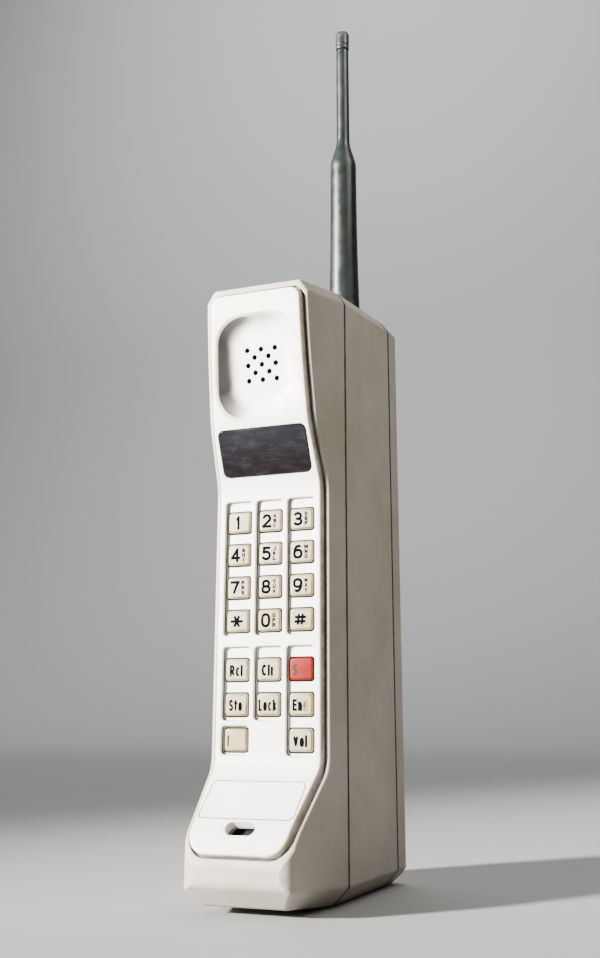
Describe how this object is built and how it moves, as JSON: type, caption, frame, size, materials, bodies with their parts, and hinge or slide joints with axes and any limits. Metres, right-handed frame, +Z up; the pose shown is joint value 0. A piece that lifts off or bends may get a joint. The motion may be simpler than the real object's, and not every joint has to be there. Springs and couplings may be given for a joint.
{
  "type": "early mobile brick phone",
  "caption": "Tall hand-held mobile phone with stepped front, earpiece bowl, keypad, rear battery pack and a screw-in rubber aerial.",
  "frame": {"origin": "on the floor under the centre of the body's box, width and depth", "axes": "+X to the right seen from the keypad, -Y towards the keypad, +Z up along the aerial"},
  "size_m": [0.0454, 0.0887, 0.3293],
  "materials": {
    "shell": "fine moulded grain, warm grey-white",
    "bezel": "smooth moulded, off-white, yellowed at the edge",
    "lens": "smoked glossy window",
    "plate": "blank worn plate",
    "key": "cream moulded keys with black legends",
    "key_red": "orange-red moulded key",
    "rubber": "matt black rubber",
    "mat": "grey silicone",
    "board": "green circuit board",
    "steel": "plain steel",
    "brass": "plated brass",
    "dark": "dark grey moulded plastic",
    "cell": "bare steel cans",
    "ribbon": "flat cable",
    "cap": "black end cap"
  },
  "bodies": {
    "phone": {"front_casing": "shell", "rear_casing": "shell", "front_bezel": "bezel", "display_window": "lens", "name_plate": "plate", "keypad_mat": "mat", "keypad_board": "board", "display_module": "dark", "earpiece_gasket": "rubber", "earpiece_capsule": "steel", "microphone_boot": "rubber", "microphone_capsule": "steel", "logic_board": "board", "radio_board": "board", "radio_shield": "steel", "duplexer_filter": "brass", "ribbon_cable": "ribbon", "rf_cable": "rubber", "antenna_socket": "brass", "contact_block": "dark", "contact_pins": "brass", "latch_spring": "steel", "casing_screws": "steel", "board_screws": "steel"},
    "battery_pack": {"battery_case": "dark", "battery_cover": "shell", "battery_cells": "cell", "battery_contacts": "brass"},
    "latch": {"battery_latch": "dark"},
    "antenna": {"antenna_stud": "brass", "antenna_sheath": "rubber", "antenna_whip": "steel", "antenna_tip_cap": "cap"},
    "key_1_body": {"key_1": "key"},
    "key_2_body": {"key_2": "key"},
    "key_3_body": {"key_3": "key"},
    "key_4_body": {"key_4": "key"},
    "key_5_body": {"key_5": "key"},
    "key_6_body": {"key_6": "key"},
    "key_7_body": {"key_7": "key"},
    "key_8_body": {"key_8": "key"},
    "key_9_body": {"key_9": "key"},
    "key_star_body": {"key_star": "key"},
    "key_0_body": {"key_0": "key"},
    "key_hash_body": {"key_hash": "key"},
    "key_recall_body": {"key_recall": "key"},
    "key_clear_body": {"key_clear": "key"},
    "key_send_body": {"key_send": "key_red"},
    "key_store_body": {"key_store": "key"},
    "key_lock_body": {"key_lock": "key"},
    "key_end_body": {"key_end": "key"},
    "key_power_body": {"key_power": "key"},
    "key_volume_body": {"key_volume": "key"}
  },
  "joints": [
    {"name": "key_1_press", "type": "slide", "parent": "phone", "child": "key_1_body", "axis": [0, 1, 0], "range_m": [0, 0.0009], "stiffness_N_per_m": 600},
    {"name": "key_2_press", "type": "slide", "parent": "phone", "child": "key_2_body", "axis": [0, 1, 0], "range_m": [0, 0.0009], "stiffness_N_per_m": 600},
    {"name": "key_3_press", "type": "slide", "parent": "phone", "child": "key_3_body", "axis": [0, 1, 0], "range_m": [0, 0.0009], "stiffness_N_per_m": 600},
    {"name": "key_4_press", "type": "slide", "parent": "phone", "child": "key_4_body", "axis": [0, 1, 0], "range_m": [0, 0.0009], "stiffness_N_per_m": 600},
    {"name": "key_5_press", "type": "slide", "parent": "phone", "child": "key_5_body", "axis": [0, 1, 0], "range_m": [0, 0.0009], "stiffness_N_per_m": 600},
    {"name": "key_6_press", "type": "slide", "parent": "phone", "child": "key_6_body", "axis": [0, 1, 0], "range_m": [0, 0.0009], "stiffness_N_per_m": 600},
    {"name": "key_7_press", "type": "slide", "parent": "phone", "child": "key_7_body", "axis": [0, 1, 0], "range_m": [0, 0.0009], "stiffness_N_per_m": 600},
    {"name": "key_8_press", "type": "slide", "parent": "phone", "child": "key_8_body", "axis": [0, 1, 0], "range_m": [0, 0.0009], "stiffness_N_per_m": 600},
    {"name": "key_9_press", "type": "slide", "parent": "phone", "child": "key_9_body", "axis": [0, 1, 0], "range_m": [0, 0.0009], "stiffness_N_per_m": 600},
    {"name": "key_star_press", "type": "slide", "parent": "phone", "child": "key_star_body", "axis": [0, 1, 0], "range_m": [0, 0.0009], "stiffness_N_per_m": 600},
    {"name": "key_0_press", "type": "slide", "parent": "phone", "child": "key_0_body", "axis": [0, 1, 0], "range_m": [0, 0.0009], "stiffness_N_per_m": 600},
    {"name": "key_hash_press", "type": "slide", "parent": "phone", "child": "key_hash_body", "axis": [0, 1, 0], "range_m": [0, 0.0009], "stiffness_N_per_m": 600},
    {"name": "key_recall_press", "type": "slide", "parent": "phone", "child": "key_recall_body", "axis": [0, 1, 0], "range_m": [0, 0.0009], "stiffness_N_per_m": 600},
    {"name": "key_clear_press", "type": "slide", "parent": "phone", "child": "key_clear_body", "axis": [0, 1, 0], "range_m": [0, 0.0009], "stiffness_N_per_m": 600},
    {"name": "key_send_press", "type": "slide", "parent": "phone", "child": "key_send_body", "axis": [0, 1, 0], "range_m": [0, 0.0009], "stiffness_N_per_m": 600},
    {"name": "key_store_press", "type": "slide", "parent": "phone", "child": "key_store_body", "axis": [0, 1, 0], "range_m": [0, 0.0009], "stiffness_N_per_m": 600},
    {"name": "key_lock_press", "type": "slide", "parent": "phone", "child": "key_lock_body", "axis": [0, 1, 0], "range_m": [0, 0.0009], "stiffness_N_per_m": 600},
    {"name": "key_end_press", "type": "slide", "parent": "phone", "child": "key_end_body", "axis": [0, 1, 0], "range_m": [0, 0.0009], "stiffness_N_per_m": 600},
    {"name": "key_power_press", "type": "slide", "parent": "phone", "child": "key_power_body", "axis": [0, 1, 0], "range_m": [0, 0.0009], "stiffness_N_per_m": 600},
    {"name": "key_volume_press", "type": "slide", "parent": "phone", "child": "key_volume_body", "axis": [0, 1, 0], "range_m": [0, 0.0009], "stiffness_N_per_m": 600},
    {"name": "battery_pack_slide", "type": "slide", "parent": "phone", "child": "battery_pack", "axis": [0, 1, 0], "range_m": [0, 0.04]},
    {"name": "battery_latch_press", "type": "slide", "parent": "phone", "child": "latch", "axis": [0, 0, -1], "range_m": [0, 0.0018], "stiffness_N_per_m": 700, "springref_m": -0.0005, "deforming": ["latch_spring"]},
    {"name": "antenna_turn", "type": "hinge", "parent": "phone", "child": "antenna", "pos_m": [0.0102, 0.0197, 0.204], "axis": [0, 0, 1], "range_deg": [0, 360]}
  ]
}
